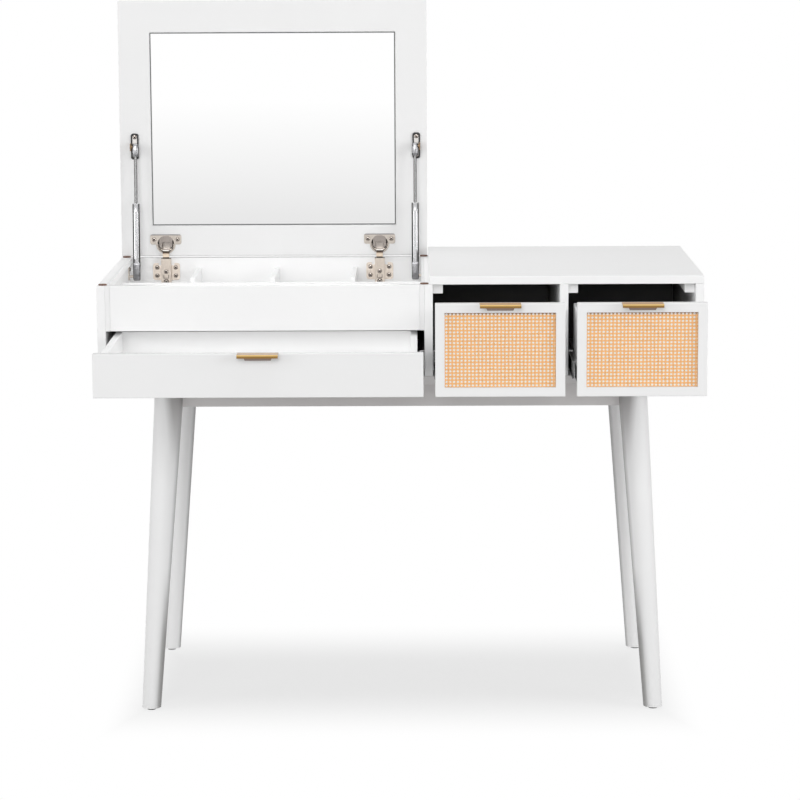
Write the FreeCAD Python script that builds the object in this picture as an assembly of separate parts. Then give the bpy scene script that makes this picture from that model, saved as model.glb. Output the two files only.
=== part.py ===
"""Vanity table with a flip-up mirror lid, one wide drawer and two cane-fronted drawers on tapered legs.

Millimetres, +Z up, +Y to the back. The origin is on the floor, under the middle of the table as it stands
in its resting pose: lid up and drawers partly pulled out.
"""
import FreeCAD, Part
import math
import os

Vector = FreeCAD.Vector
X_AXIS = Vector(1, 0, 0)
Y_AXIS = Vector(0, 1, 0)
Z_AXIS = Vector(0, 0, 1)

# Overall sizes
table_width = 1080.0
table_depth = 490.0
base_height = 600.0
bay_height = 164.0
panel = 15.0
lid_bay_width = 568.0
edge_round = 1.2
overrun = 5.0

# Table top over the right-hand bays, and the battens that hold it
top_seat = 6.0
top_lid_gap = 2.0
batten_width = 18.0
batten_height = 18.0
batten_setback = 18.0

# Flip compartment: front rail, rim strips, floor and dividers
rail_height = 81.5
strip_thickness = 8.0
strip_height = 12.0
compartment_floor_thickness = 9.0
divider_thickness = 9.0
divider_height = 50.0
cross_divider_height = 42.0
rear_cell_depth = 170.0
divider_spacing_share = 0.3656
rear_relief = 3.0
rear_relief_length = 20.0

# Lid, mirror and bumpers
lid_thickness = 15.0
lid_corner_round = 3.0
mirror_border = 60.0
mirror_gap = 0.8
mirror_thickness = 4.0
bumper_height = 2.0
bumper_diameter = 15.0
bumper_front_inset = 12.0
bumper_rear_inset = 30.0
bumper_left_inset = 10.0

# Cup hinges
hinge_setback = 11.0
hinge_rise = 9.5
hinge_left_inset = 85.0
hinge_right_inset = 92.0
hinge_pin_diameter = 2.0
cup_diameter = 35.0
cup_depth = 13.0
cup_wall = 1.5
cup_skin = 0.3
cup_edge_distance = 6.0
cup_pocket_clearance = 0.1
cup_lip = 1.2
cup_mouth_notch = 16.0
flange_width = 60.0
flange_height = 19.5
flange_offset = 9.5
flange_thickness = 1.2
flange_round = 4.0
flange_screw_spacing = 45.0
arm_neck_width = 12.6
arm_eye_diameter = 3.8
arm_sheet = 2.4
arm_reach = 13.5
arm_width = 19.0
arm_length = 50.0
arm_rim_drop = 3.0
arm_wall = 1.2
hinge_plate_width = 52.0
hinge_plate_height = 33.0
hinge_plate_drop = 13.0
hinge_plate_thickness = 1.2
hinge_plate_round = 5.0
hinge_plate_notch_width = 6.0
hinge_plate_notch_height = 4.5
plate_screw_spacing_x = 36.0
plate_screw_spacing_z = 16.0

# Gas struts, placed from the hinge pin
strut_offset = 16.0
strut_foot_forward = 42.0
strut_foot_drop = 46.0
strut_reach = 201.5
strut_stand = 16.0
strut_cylinder_diameter = 14.0
strut_wall = 1.0
strut_rod_diameter = 6.0
strut_socket_length = 24.0
strut_socket_width = 12.0
strut_socket_diameter = 13.0
strut_eye_width = 8.0
strut_stem_diameter = 6.6
strut_eye_length = 17.0
strut_eye_diameter = 10.0
strut_guide_length = 6.0
strut_piston_length = 8.0
strut_end_margin = 2.0
strut_stud_diameter = 5.0
strut_stud_head_diameter = 7.0
strut_open_gap = 0.3
strut_tab_clearance = 1.0
strut_plate_thickness = 2.0
strut_foot_plate_width = 14.0
strut_foot_plate_height = 26.0
strut_lid_plate_width = 15.0
strut_lid_plate_length = 50.0
strut_lid_screw_inset = 7.0
strut_foot_screw_inset = 5.0

# Legs, their fixings and the aprons between them
leg_inset_x = 123.0
leg_inset_y = 58.0
leg_splay = 40.0
leg_top_diameter = 53.0
leg_foot_diameter = 34.0
glide_height = 4.0
glide_diameter = 16.0
leg_plate_thickness = 3.0
leg_plate_diameter = 48.0
leg_bolt_diameter = 8.0
leg_bolt_length = 45.0
apron_height = 47.0
apron_thickness = 18.0
apron_leg_clearance = 0.3

# Drawers, shared
drawer_pull_out = 252.0
drawer_wall = 12.0
drawer_bottom = 5.0
drawer_bottom_rise = 6.0
drawer_side_gap = 2.5
drawer_floor_gap = 2.0
drawer_box_floor_gap = 6.0
wide_top_gap = 4.5
wide_box_lip_drop = 4.0
cane_top_gap = 2.0
cane_box_height = 116.0

# Ball-bearing slides with three members each
slide_thickness = 12.7
slide_height = 35.0
slide_length = 300.0
slide_rise = 26.0
slide_setback = 3.0
slide_sheet = 1.2
slide_running_gap = 0.4
slide_outer_flange = 9.0
slide_middle_flange = 8.0
slide_middle_start = 2.0

# Cane fronts
frame_border = 16.0
cane_recess = 5.0
cane_thickness = 1.0
cane_backing = 4.0
cane_edge_clearance = 0.2
cane_columns = 20
cane_rows = 14
cane_strand_share = 0.42

# Edge pulls
pull_width = 70.0
pull_reach = 18.0
pull_lip = 6.0
pull_sheet = 1.5
pull_seat = 11.0
pull_web_height = 12.0
pull_web_top_width = 54.0
pull_web_low_width = 44.0

# Screws and fits
screw_head_diameter = 7.0
screw_head_height = 1.4
screw_shank_diameter = 3.5
screw_shank_length = 9.0
pilot_clearance = 0.05
running_clearance = 0.05
parallel_share = 0.01

# Places worked out from the sizes above
y_middle = (drawer_pull_out + pull_reach) / 2
front_y = y_middle - table_depth / 2
back_y = y_middle + table_depth / 2
left_x = -table_width / 2
right_x = table_width / 2
floor_z = base_height + panel
rim_z = floor_z + bay_height
top_z = rim_z + panel

left_face_x = left_x + panel
middle_x0 = left_face_x + lid_bay_width
middle_x1 = middle_x0 + panel
cane_bay_width = (right_x - panel - middle_x1 - panel) / 2
centre_x0 = middle_x1 + cane_bay_width
centre_x1 = centre_x0 + panel
right_face_x = right_x - panel
back_face_y = back_y - panel
rail_z = rim_z - rail_height
tray_z = rail_z + compartment_floor_thickness

top_x0 = middle_x1 - top_seat
lid_x0 = left_x
lid_x1 = top_x0 - top_lid_gap
lid_z = rim_z + bumper_height
pivot_y = back_y - hinge_setback
pivot_z = lid_z + hinge_rise
hinge_xs = (lid_x0 + hinge_left_inset, lid_x1 - hinge_right_inset)
divider_spacing = (hinge_xs[1] - hinge_xs[0]) * divider_spacing_share
cup_y = back_y - cup_edge_distance - cup_diameter / 2
relief_y = back_y - rear_relief_length
lid_open_angle = -90.0


# Small helpers
def box(x0, x1, y0, y1, z0, z1):
    """A block between two corners."""
    return Part.makeBox(x1 - x0, y1 - y0, z1 - z0, Vector(x0, y0, z0))


def board(x0, x1, y0, y1, z0, z1):
    """A block with its edges eased."""
    shape = box(x0, x1, y0, y1, z0, z1)
    ease = min(edge_round, (x1 - x0) / 3, (y1 - y0) / 3, (z1 - z0) / 3)
    return shape.makeFillet(ease, shape.Edges)


def rod(diameter, start, end):
    """A round bar from one point to another."""
    way = end - start
    return Part.makeCylinder(diameter / 2, way.Length, start, way)


def prism(points, way):
    """A flat outline pushed along a direction."""
    return Part.Face(Part.makePolygon(points + points[:1])).extrude(way)


def rounded_plate(x0, x1, y0, y1, z0, z1, radius, axis):
    """A plate with the edges along one axis rounded."""
    shape = box(x0, x1, y0, y1, z0, z1)
    corners = [e for e in shape.Edges if e.tangentAt(e.FirstParameter).cross(axis).Length < parallel_share]
    return shape.makeFillet(radius, corners)


def screw(seat, way):
    """A pan-head screw whose head sits on a seat point and whose shank runs along the way."""
    head = rod(screw_head_diameter, seat - way * screw_head_height, seat)
    shank = rod(screw_shank_diameter, seat, seat + way * screw_shank_length)
    return head.fuse(shank).removeSplitter()


def pilot(seat, way):
    """The hole that a screw's shank needs, started outside the seat."""
    start = seat - way * overrun
    end = seat + way * (screw_shank_length + pilot_clearance)
    return rod(screw_shank_diameter + 2 * pilot_clearance, start, end)


def cut_all(shape, tools):
    """The shape with every tool taken away."""
    return shape.cut(Part.makeCompound(tools)) if tools else shape


def opened(shape):
    """A piece of the closed lid, turned up about the hinge pin."""
    shape.rotate(Vector(0, pivot_y, pivot_z), X_AXIS, lid_open_angle)
    return shape


# Carcass
def side_panel(x0, x1, under_lid):
    """An upright between the bottom panel and the rim, lowered at the back where the lid swings."""
    shape = board(x0, x1, front_y, back_y, floor_z, rim_z)
    if under_lid:
        relief = box(x0 - overrun, x1 + overrun, relief_y, back_y + overrun,
                     rim_z - rear_relief, rim_z + overrun)
        shape = shape.cut(relief)
    return shape


def middle_partition():
    """The upright between the two sections, with the lid's relief short of the table top."""
    shape = board(middle_x0, middle_x1, front_y, back_face_y, floor_z, rim_z)
    relief = box(middle_x0 - overrun, top_x0, relief_y, back_y, rim_z - rear_relief, rim_z + overrun)
    return shape.cut(relief)


def centre_partition():
    return board(centre_x0, centre_x1, front_y, back_face_y, floor_z, rim_z)


def bottom_panel():
    return board(left_x, right_x, front_y, back_y, base_height, floor_z)


def back_panel_left():
    return board(left_face_x, top_x0, back_face_y, back_y, floor_z, rim_z - rear_relief)


def back_panel_right():
    return board(top_x0, right_face_x, back_face_y, back_y, floor_z, rim_z)


def table_top():
    return board(top_x0, right_x, front_y, back_y, rim_z, top_z)


def top_battens():
    """Square battens under the table top, against the uprights."""
    y0 = front_y + batten_setback
    z0 = rim_z - batten_height
    starts = (middle_x1, centre_x1, right_face_x - batten_width)
    return [board(x, x + batten_width, y0, back_face_y, z0, rim_z) for x in starts]


def front_rail():
    x0 = left_face_x + strip_thickness
    x1 = middle_x0 - strip_thickness
    return board(x0, x1, front_y, front_y + panel, rail_z, rim_z)


def rim_strips():
    """A post beside each end of the rail, with a ledge behind it along the rim, clear of the strut's tab."""
    ledge_width = strut_offset - strut_eye_width / 2 - 3 * strut_plate_thickness - strut_tab_clearance
    strips = []
    for face, inward in strut_sides.values():
        post_x = sorted((face, face + inward * strip_thickness))
        ledge_x = sorted((face, face + inward * ledge_width))
        post = box(post_x[0], post_x[1], front_y, front_y + panel, rail_z, rim_z)
        ledge = box(ledge_x[0], ledge_x[1], front_y + panel, relief_y, rim_z - strip_height, rim_z)
        strips.append(post.fuse(ledge).removeSplitter())
    return strips


def compartment_floor():
    return box(left_face_x, middle_x0, front_y + panel, back_face_y, rail_z, tray_z)


def compartment_dividers():
    """One divider across the tray, and three behind it that part the rear cells."""
    middle = (left_face_x + middle_x0) / 2
    cross_y1 = back_face_y - rear_cell_depth
    cross = board(left_face_x, middle_x0, cross_y1 - divider_thickness, cross_y1,
                  tray_z, tray_z + cross_divider_height)
    dividers = [cross]
    for step in (-1, 0, 1):
        x0 = middle + step * divider_spacing - divider_thickness / 2
        x1 = x0 + divider_thickness
        dividers.append(board(x0, x1, cross_y1, back_face_y, tray_z, tray_z + divider_height))
    return dividers


def lid_bumpers():
    """Round pads on the rim that the closed lid rests on."""
    pads = []
    for x in (left_x + bumper_left_inset, middle_x0):
        for y in (front_y + bumper_front_inset, back_y - bumper_rear_inset):
            pads.append(rod(bumper_diameter, Vector(x, y, rim_z), Vector(x, y, lid_z)))
    return pads


# Legs and aprons
def leg_axis(side, end):
    """Top and foot of a leg's centre line, for side and end of -1 or 1."""
    top_x = side * (table_width / 2 - leg_inset_x)
    top_y = y_middle + end * (table_depth / 2 - leg_inset_y)
    top = Vector(top_x, top_y, base_height)
    foot = Vector(top.x + side * leg_splay, top.y + end * leg_splay, 0)
    return top, foot


def leg_cone(side, end, grow):
    """The leg's tapered bar, run past both ends along its own line."""
    top, foot = leg_axis(side, end)
    way = foot - top
    length = way.Length
    way.normalize()
    taper = (leg_top_diameter - leg_foot_diameter) / 2 / length
    extra = leg_top_diameter
    r_top = leg_top_diameter / 2 + taper * extra + grow
    r_low = leg_foot_diameter / 2 - taper * extra + grow
    return Part.makeCone(r_top, r_low, length + 2 * extra, top - way * extra, way)


def leg_bolt(side, end, clearance):
    """The hanger bolt down the middle of a leg, from its plate."""
    top, foot = leg_axis(side, end)
    way = foot - top
    way.normalize()
    start = top - way * leg_plate_thickness
    bar = rod(leg_bolt_diameter + 2 * clearance, start, top + way * leg_bolt_length)
    reach = leg_top_diameter
    below = box(top.x - reach, top.x + reach, top.y - reach, top.y + reach,
                base_height - 2 * leg_bolt_length, base_height - leg_plate_thickness)
    return bar.common(below)


def leg(side, end):
    """A round tapered leg, splayed both ways, cut level at the plate and at the glide."""
    cone = leg_cone(side, end, 0)
    top, foot = leg_axis(side, end)
    reach = leg_splay + leg_top_diameter
    level = box(top.x - reach, top.x + reach, top.y - reach, top.y + reach,
                glide_height, base_height - leg_plate_thickness)
    return cone.common(level).cut(leg_bolt(side, end, pilot_clearance))


def leg_glides():
    glides = []
    for side in (-1, 1):
        for end in (-1, 1):
            top, foot = leg_axis(side, end)
            glides.append(rod(glide_diameter, foot, foot + Z_AXIS * glide_height))
    return glides


def leg_fixings():
    """A round plate under the bottom panel and a hanger bolt for each leg."""
    fixings = []
    for side in (-1, 1):
        for end in (-1, 1):
            top, foot = leg_axis(side, end)
            plate = rod(leg_plate_diameter, top - Z_AXIS * leg_plate_thickness, top)
            fixings.append(plate.fuse(leg_bolt(side, end, 0)).removeSplitter())
    return fixings


def apron(ends, along_x):
    """A rail under the bottom panel between two legs, its ends hollowed to fit round them."""
    a, b = (leg_axis(side, end)[0] for side, end in ends)
    half = apron_thickness / 2
    z0 = base_height - apron_height
    if along_x:
        bar = box(a.x, b.x, a.y - half, a.y + half, z0, base_height)
    else:
        bar = box(a.x - half, a.x + half, a.y, b.y, z0, base_height)
    hollows = [leg_cone(side, end, apron_leg_clearance) for side, end in ends]
    pieces = cut_all(bar, hollows).Solids
    return max(pieces, key=lambda piece: piece.Volume)


# Hinges
def hinge_plate(x):
    """The mounting plate on the back panel's inner face, its wings cut lower beside the arm."""
    z1 = rim_z - hinge_plate_drop
    z0 = z1 - hinge_plate_height
    y0 = back_face_y - hinge_plate_thickness
    wings = rounded_plate(x - hinge_plate_width / 2, x + hinge_plate_width / 2, y0, back_face_y, z0, z1,
                          hinge_plate_round, Y_AXIS)
    half = arm_width / 2 + hinge_plate_notch_width
    notch = box(x - half, x + half, y0 - overrun, back_face_y + overrun,
                z1 - hinge_plate_notch_height, z1 + overrun)
    arm_z1 = rim_z - arm_rim_drop
    spine = box(x - arm_width / 2, x + arm_width / 2, y0, back_face_y, arm_z1 - arm_length, arm_z1)
    return wings.cut(notch).fuse(spine).removeSplitter()


def plate_screw_seats(x):
    """Where the plate's four screws sit."""
    z = rim_z - hinge_plate_drop - hinge_plate_height / 2
    y = back_face_y - hinge_plate_thickness
    return [Vector(x + sx * plate_screw_spacing_x / 2, y, z + sz * plate_screw_spacing_z / 2)
            for sx in (-1, 1) for sz in (-1, 1)]


def hinge_arm(x):
    """The channel on the plate, with a goose neck that turns over the rim into the cup."""
    eye = rod(arm_eye_diameter, Vector(x - arm_neck_width / 2, pivot_y, pivot_z),
              Vector(x + arm_neck_width / 2, pivot_y, pivot_z))
    arm_z1 = rim_z - arm_rim_drop
    y0 = pivot_y - arm_reach
    neck_low = arm_z1 - arm_wall
    link = box(x - arm_neck_width / 2, x + arm_neck_width / 2, y0, pivot_y,
               pivot_z - arm_sheet / 2, pivot_z + arm_sheet / 2)
    drop = box(x - arm_neck_width / 2, x + arm_neck_width / 2, y0, y0 + arm_sheet, neck_low, pivot_z)
    y1 = back_face_y - hinge_plate_thickness
    shell = box(x - arm_width / 2, x + arm_width / 2, y0, y1, arm_z1 - arm_length, arm_z1)
    hollow = box(x - arm_width / 2 + arm_wall, x + arm_width / 2 - arm_wall, y0 + arm_sheet, y1 + overrun,
                 arm_z1 - arm_length - overrun, arm_z1 - arm_wall)
    hole = rod(hinge_pin_diameter + 2 * pilot_clearance, Vector(x - arm_width, pivot_y, pivot_z),
               Vector(x + arm_width, pivot_y, pivot_z))
    return eye.fuse([link, drop, shell.cut(hollow)]).removeSplitter().cut(hole)


def arm_screw_seats(x):
    """The two adjusting screws on the arm's face."""
    z = rim_z - arm_rim_drop
    y = pivot_y - arm_reach
    return [Vector(x, y, z - arm_length * share) for share in arm_screw_shares]


arm_screw_shares = (0.52, 0.9)


def pin_half_length():
    """Half of a hinge pin, so that it ends inside the cup's wall, a skin short of its outer face."""
    across = pivot_y + hinge_pin_diameter / 2 - cup_y
    limit = cup_diameter / 2 - cup_skin
    return math.sqrt(limit ** 2 - across ** 2)


def hinge_pin(x):
    half = pin_half_length()
    return rod(hinge_pin_diameter, Vector(x - half, pivot_y, pivot_z), Vector(x + half, pivot_y, pivot_z))


def hinge_cup(x):
    """The cup let into the lid, with its screw flange, a lip and a notch where the arm comes out."""
    foot = Vector(x, cup_y, lid_z)
    outer = rod(cup_diameter, foot, foot + Z_AXIS * cup_depth)
    lip = rod(cup_diameter + 2 * cup_lip, foot - Z_AXIS * flange_thickness, foot)
    y_flange = cup_y - flange_offset
    flange = rounded_plate(x - flange_width / 2, x + flange_width / 2, y_flange - flange_height / 2,
                           y_flange + flange_height / 2, lid_z - flange_thickness, lid_z,
                           flange_round, Z_AXIS)
    inner = rod(cup_diameter - 2 * cup_wall, foot - Z_AXIS * overrun, foot + Z_AXIS * (cup_depth - cup_wall))
    notch = box(x - cup_mouth_notch / 2, x + cup_mouth_notch / 2, cup_y, back_y, lid_z - overrun,
                lid_z + flange_thickness)
    far = Vector(cup_diameter, 0, 0)
    axis_point = Vector(x, pivot_y, pivot_z)
    pin_hole = rod(hinge_pin_diameter + 2 * running_clearance, axis_point - far, axis_point + far)
    return outer.fuse([lip, flange]).removeSplitter().cut(Part.makeCompound([inner, notch, pin_hole]))


def cup_screw_seats(x):
    z = lid_z - flange_thickness
    return [Vector(x + s * flange_screw_spacing / 2, cup_y - flange_offset, z) for s in (-1, 1)]


# Gas struts
strut_sides = {"left": (left_face_x, 1), "right": (middle_x0, -1)}
strut_foot = Vector(0, pivot_y - strut_foot_forward, pivot_z - strut_foot_drop)
strut_head = Vector(0, pivot_y - hinge_rise - strut_stand, pivot_z + strut_reach)
strut_head_closed = Vector(0, pivot_y - strut_reach, pivot_z - hinge_rise - strut_stand)
strut_way = strut_head - strut_foot
strut_open_length = strut_way.Length
strut_closed_length = (strut_head_closed - strut_foot).Length
strut_stroke = strut_open_length - strut_closed_length
strut_way.normalize()
strut_cylinder_length = strut_closed_length - strut_socket_length - strut_eye_length - 2 * strut_end_margin


def strut_x(side):
    face, inward = strut_sides[side]
    return face + inward * strut_offset


def along_strut(side, distance):
    """A point on a strut's centre line, measured from its foot."""
    return Vector(strut_x(side), 0, 0) + strut_foot + strut_way * distance


def strut_end(side, distance, diameter, width, length, sign):
    """A flat-sided end fitting: a round eye on the strut's line with a stem towards the bar."""
    half = Vector(width / 2, 0, 0)
    centre = along_strut(side, distance)
    eye = rod(diameter, centre - half, centre + half)
    stem = rod(strut_stem_diameter, centre, along_strut(side, distance + sign * length))
    return eye.fuse(stem).removeSplitter()


def strut_cylinder(side):
    """The closed tube, with the guide at its mouth, and the socket on its foot."""
    base = along_strut(side, strut_socket_length)
    mouth = along_strut(side, strut_socket_length + strut_cylinder_length)
    tube = rod(strut_cylinder_diameter, base, mouth)
    bore = rod(strut_cylinder_diameter - 2 * strut_wall,
               along_strut(side, strut_socket_length + strut_end_margin),
               along_strut(side, strut_socket_length + strut_cylinder_length - strut_guide_length))
    guide = rod(strut_rod_diameter + 2 * running_clearance, base, along_strut(side, strut_open_length))
    throat = guide.common(rod(strut_cylinder_diameter, bore.CenterOfMass, mouth + strut_way * overrun))
    socket = strut_end(side, 0, strut_socket_diameter, strut_socket_width, strut_socket_length, 1)
    stud = foot_stud(side, running_clearance, overrun)
    return [tube.cut(bore.fuse(throat)), socket.cut(stud)]


def strut_rod(side):
    """The polished rod with its piston, and the eye at its head."""
    low = strut_socket_length + 2 * strut_end_margin + strut_stroke
    high = strut_open_length - strut_eye_length
    bar = rod(strut_rod_diameter, along_strut(side, low), along_strut(side, high))
    piston = rod(strut_cylinder_diameter - 2 * strut_wall - 2 * running_clearance,
                 along_strut(side, low), along_strut(side, low + strut_piston_length))
    eye = strut_end(side, strut_open_length, strut_eye_diameter, strut_eye_width, strut_eye_length, -1)
    return [bar.fuse(piston).removeSplitter(), eye]


def foot_stud(side, clearance, extra):
    """The stud that a strut's socket turns on, grown for the hole in the socket."""
    face, inward = strut_sides[side]
    end = strut_x(side) + inward * (strut_socket_width / 2 + extra)
    start = Vector(face, strut_foot.y, strut_foot.z)
    return rod(strut_stud_diameter + 2 * clearance, start, Vector(end, strut_foot.y, strut_foot.z))


def foot_plate_z():
    """The foot plate's lower edge, one stud head below the stud."""
    return strut_foot.z - strut_stud_head_diameter


def strut_foot_bracket(side):
    """A plate on the upright with the stud for the strut's socket."""
    face, inward = strut_sides[side]
    x = sorted((face, face + inward * strut_plate_thickness))
    y0 = strut_foot.y - strut_foot_plate_width / 2
    z0 = foot_plate_z()
    plate = rounded_plate(x[0], x[1], y0, y0 + strut_foot_plate_width, z0, z0 + strut_foot_plate_height,
                          strut_foot_plate_width / 3, X_AXIS)
    return plate.fuse(foot_stud(side, 0, 0)).removeSplitter()


def foot_screw_seat(side):
    face, inward = strut_sides[side]
    z = foot_plate_z() + strut_foot_plate_height - strut_foot_screw_inset
    return Vector(face + inward * strut_plate_thickness, strut_foot.y, z), Vector(-inward, 0, 0)


def strut_lid_bracket(side):
    """A plate on the closed lid's underside, with a tab whose stud ends just short of the strut's eye."""
    face, inward = strut_sides[side]
    x = strut_x(side)
    head = strut_head_closed
    eye_face = x - inward * strut_eye_width / 2
    tab_x1 = eye_face - inward * strut_plate_thickness * 2
    tab_x0 = tab_x1 - inward * strut_plate_thickness
    plate_x = sorted((tab_x0, tab_x0 + inward * strut_lid_plate_width))
    tab_x = sorted((tab_x0, tab_x1))
    half = strut_lid_plate_length / 2
    plate = rounded_plate(plate_x[0], plate_x[1], head.y - half, head.y + half,
                          lid_z - strut_plate_thickness, lid_z, strut_lid_plate_width / 3, Z_AXIS)
    reach = strut_stud_head_diameter
    tab = box(tab_x[0], tab_x[1], head.y - reach, head.y + reach,
              head.z - reach, lid_z - strut_plate_thickness)
    stud = rod(strut_stud_head_diameter, Vector(tab_x1, head.y, head.z),
               Vector(eye_face - inward * strut_open_gap, head.y, head.z))
    return plate.fuse([tab, stud]).removeSplitter()


def lid_bracket_screw_seats(side):
    face, inward = strut_sides[side]
    outside = strut_eye_width / 2 + strut_plate_thickness * 3
    x = strut_x(side) - inward * (outside - strut_lid_plate_width / 2)
    half = strut_lid_plate_length / 2 - strut_lid_screw_inset
    z = lid_z - strut_plate_thickness
    return [Vector(x, strut_head_closed.y + s * half, z) for s in (-1, 1)]


# Lid
def lid_seats():
    """Every screw seat on the closed lid's underside."""
    seats = []
    for x in hinge_xs:
        seats += cup_screw_seats(x)
    for side in strut_sides:
        seats += lid_bracket_screw_seats(side)
    return seats


def lid_board():
    """The lid, built closed: pockets for mirror and cups, and a rounder edge beside the hinges."""
    shape = box(lid_x0, lid_x1, front_y, back_y, lid_z, lid_z + lid_thickness)
    long_edges = [e for e in shape.Edges if e.BoundBox.XLength > table_depth / 2]
    half_z = lid_z + lid_thickness / 2
    swing_edge = [e for e in long_edges if e.CenterOfMass.y > y_middle and e.CenterOfMass.z < half_z]
    shape = shape.makeFillet(lid_corner_round, swing_edge)
    others = [e for e in shape.Edges if e.BoundBox.XLength > table_depth / 2
              and (e.CenterOfMass.y < y_middle or e.CenterOfMass.z > lid_z + lid_thickness - edge_round)]
    others = [e for e in others if e.CenterOfMass.y < y_middle or e.CenterOfMass.y > back_y - edge_round]
    shape = shape.makeFillet(edge_round, others)
    pockets = [box(lid_x0 + mirror_border, lid_x1 - mirror_border, front_y + mirror_border,
                   back_y - mirror_border, lid_z - overrun, lid_z + mirror_thickness)]
    for x in hinge_xs:
        foot = Vector(x, cup_y, lid_z)
        pockets.append(rod(cup_diameter + 2 * cup_pocket_clearance, foot - Z_AXIS * overrun,
                           foot + Z_AXIS * cup_depth))
    pockets += [pilot(seat, Z_AXIS) for seat in lid_seats()]
    return opened(cut_all(shape, pockets))


def mirror_glass():
    inset = mirror_border + mirror_gap
    return opened(box(lid_x0 + inset, lid_x1 - inset, front_y + inset, back_y - inset,
                      lid_z, lid_z + mirror_thickness))


def hinge_cups():
    cups = []
    for x in hinge_xs:
        holes = [pilot(seat, Z_AXIS) for seat in cup_screw_seats(x)]
        cups.append(opened(cut_all(hinge_cup(x), holes)))
    return cups


def strut_lid_brackets():
    brackets = []
    for side in strut_sides:
        holes = [pilot(seat, Z_AXIS) for seat in lid_bracket_screw_seats(side)]
        brackets.append(opened(cut_all(strut_lid_bracket(side), holes)))
    return brackets


def lid_screws():
    return [opened(screw(seat, Z_AXIS)) for seat in lid_seats()]


# Drawers
def slide_profile(face, inward, centre_z, outline):
    """A slide member's section, from points of distance off the upright and height off its middle."""
    return [Vector(face + inward * s, 0, centre_z + z) for s, z in outline]


def channel(depth, height, sheet, start):
    """Outline of a C section that opens away from the upright."""
    h = height / 2
    return [(start, -h), (start + depth, -h), (start + depth, -h + sheet), (start + sheet, -h + sheet),
            (start + sheet, h - sheet), (start + depth, h - sheet), (start + depth, h), (start, h)]


def slide_member(face, inward, centre_z, outline, pulled):
    """A slide member of full length, moved out by the amount pulled."""
    y0 = front_y + panel + slide_setback - pulled
    points = [Vector(p.x, y0, p.z) for p in slide_profile(face, inward, centre_z, outline)]
    return prism(points, Y_AXIS * slide_length)


def outer_rail(face, inward, centre_z):
    return slide_member(face, inward, centre_z, channel(slide_outer_flange, slide_height, slide_sheet, 0), 0)


def middle_rail(face, inward, centre_z):
    """An H section that runs inside the outer rail."""
    h = slide_height / 2 - slide_sheet - slide_running_gap
    s0 = slide_middle_start
    s1 = s0 + slide_middle_flange
    web0 = (s0 + s1 - slide_sheet) / 2
    web1 = web0 + slide_sheet
    t = slide_sheet
    outline = [(s0, -h), (s1, -h), (s1, -h + t), (web1, -h + t), (web1, h - t), (s1, h - t), (s1, h),
               (s0, h), (s0, h - t), (web0, h - t), (web0, -h + t), (s0, -h + t)]
    return slide_member(face, inward, centre_z, outline, drawer_pull_out / 2)


def inner_rail(face, inward, centre_z):
    """A C section on the drawer's side that runs inside the middle rail."""
    height = slide_height - 4 * slide_sheet - 4 * slide_running_gap
    web1 = slide_middle_start + (slide_middle_flange + slide_sheet) / 2
    depth = slide_thickness - web1 - slide_running_gap
    outline = [(slide_thickness - s, z) for s, z in channel(depth, height, slide_sheet, 0)]
    return slide_member(face, inward, centre_z, outline, drawer_pull_out)


bays = {
    "wide": (left_face_x, middle_x0),
    "cane_left": (middle_x1, centre_x0),
    "cane_right": (centre_x1, right_face_x),
}
slide_z = floor_z + slide_rise
drawer_box_depth = slide_setback + slide_length
drawer_y = front_y - drawer_pull_out


def rails(name, maker):
    """The pair of slide members of one kind in a bay."""
    x0, x1 = bays[name]
    return [maker(x0, 1, slide_z), maker(x1, -1, slide_z)]


def drawer_top_z(name):
    return rail_z - wide_top_gap if name == "wide" else rim_z - cane_top_gap


def drawer_front_x(name):
    x0, x1 = bays[name]
    return x0 + drawer_side_gap, x1 - drawer_side_gap


def pull_rebate(name):
    """The step in a front's top edge that the pull's plate lies in."""
    x0, x1 = drawer_front_x(name)
    middle = (x0 + x1) / 2
    z1 = drawer_top_z(name)
    half = pull_width / 2 + cane_edge_clearance
    return box(middle - half, middle + half, drawer_y - overrun, drawer_y + pull_seat,
               z1 - pull_sheet, z1 + overrun)


def drawer_pull(name):
    """A folded edge pull: plate over the top edge, turned-down lip, and a tapered web on the front's face."""
    x0, x1 = drawer_front_x(name)
    middle = (x0 + x1) / 2
    z1 = drawer_top_z(name)
    half = pull_width / 2
    lip_y = drawer_y - pull_reach
    plate = box(middle - half, middle + half, lip_y, drawer_y + pull_seat, z1 - pull_sheet, z1)
    lip = box(middle - half, middle + half, lip_y, lip_y + pull_sheet, z1 - pull_lip, z1)
    z2 = z1 - pull_web_height
    wide, narrow = pull_web_top_width / 2, pull_web_low_width / 2
    y = drawer_y - pull_sheet
    web = prism([Vector(middle - wide, y, z1 - pull_sheet), Vector(middle + wide, y, z1 - pull_sheet),
                 Vector(middle + narrow, y, z2), Vector(middle - narrow, y, z2)], Y_AXIS * pull_sheet)
    return plate.fuse([lip, web]).removeSplitter()


def wide_front():
    x0, x1 = drawer_front_x("wide")
    slab = board(x0, x1, drawer_y, drawer_y + panel, floor_z + drawer_floor_gap, drawer_top_z("wide"))
    return slab.cut(pull_rebate("wide"))


def cane_frame(name):
    """A front board with a window cut through it for the cane."""
    x0, x1 = drawer_front_x(name)
    y0, y1 = drawer_y, drawer_y + panel
    slab = board(x0, x1, y0, y1, floor_z + drawer_floor_gap, drawer_top_z(name))
    w0, w1, z0, z1 = cane_window(name)
    window = box(w0, w1, y0 - overrun, y1 + overrun, z0, z1)
    return [slab.cut(window).cut(pull_rebate(name))]


def cane_window(name):
    """The opening in a cane frame."""
    x0, x1 = drawer_front_x(name)
    b = frame_border
    return x0 + b, x1 - b, floor_z + drawer_floor_gap + b, drawer_top_z(name) - b


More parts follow.
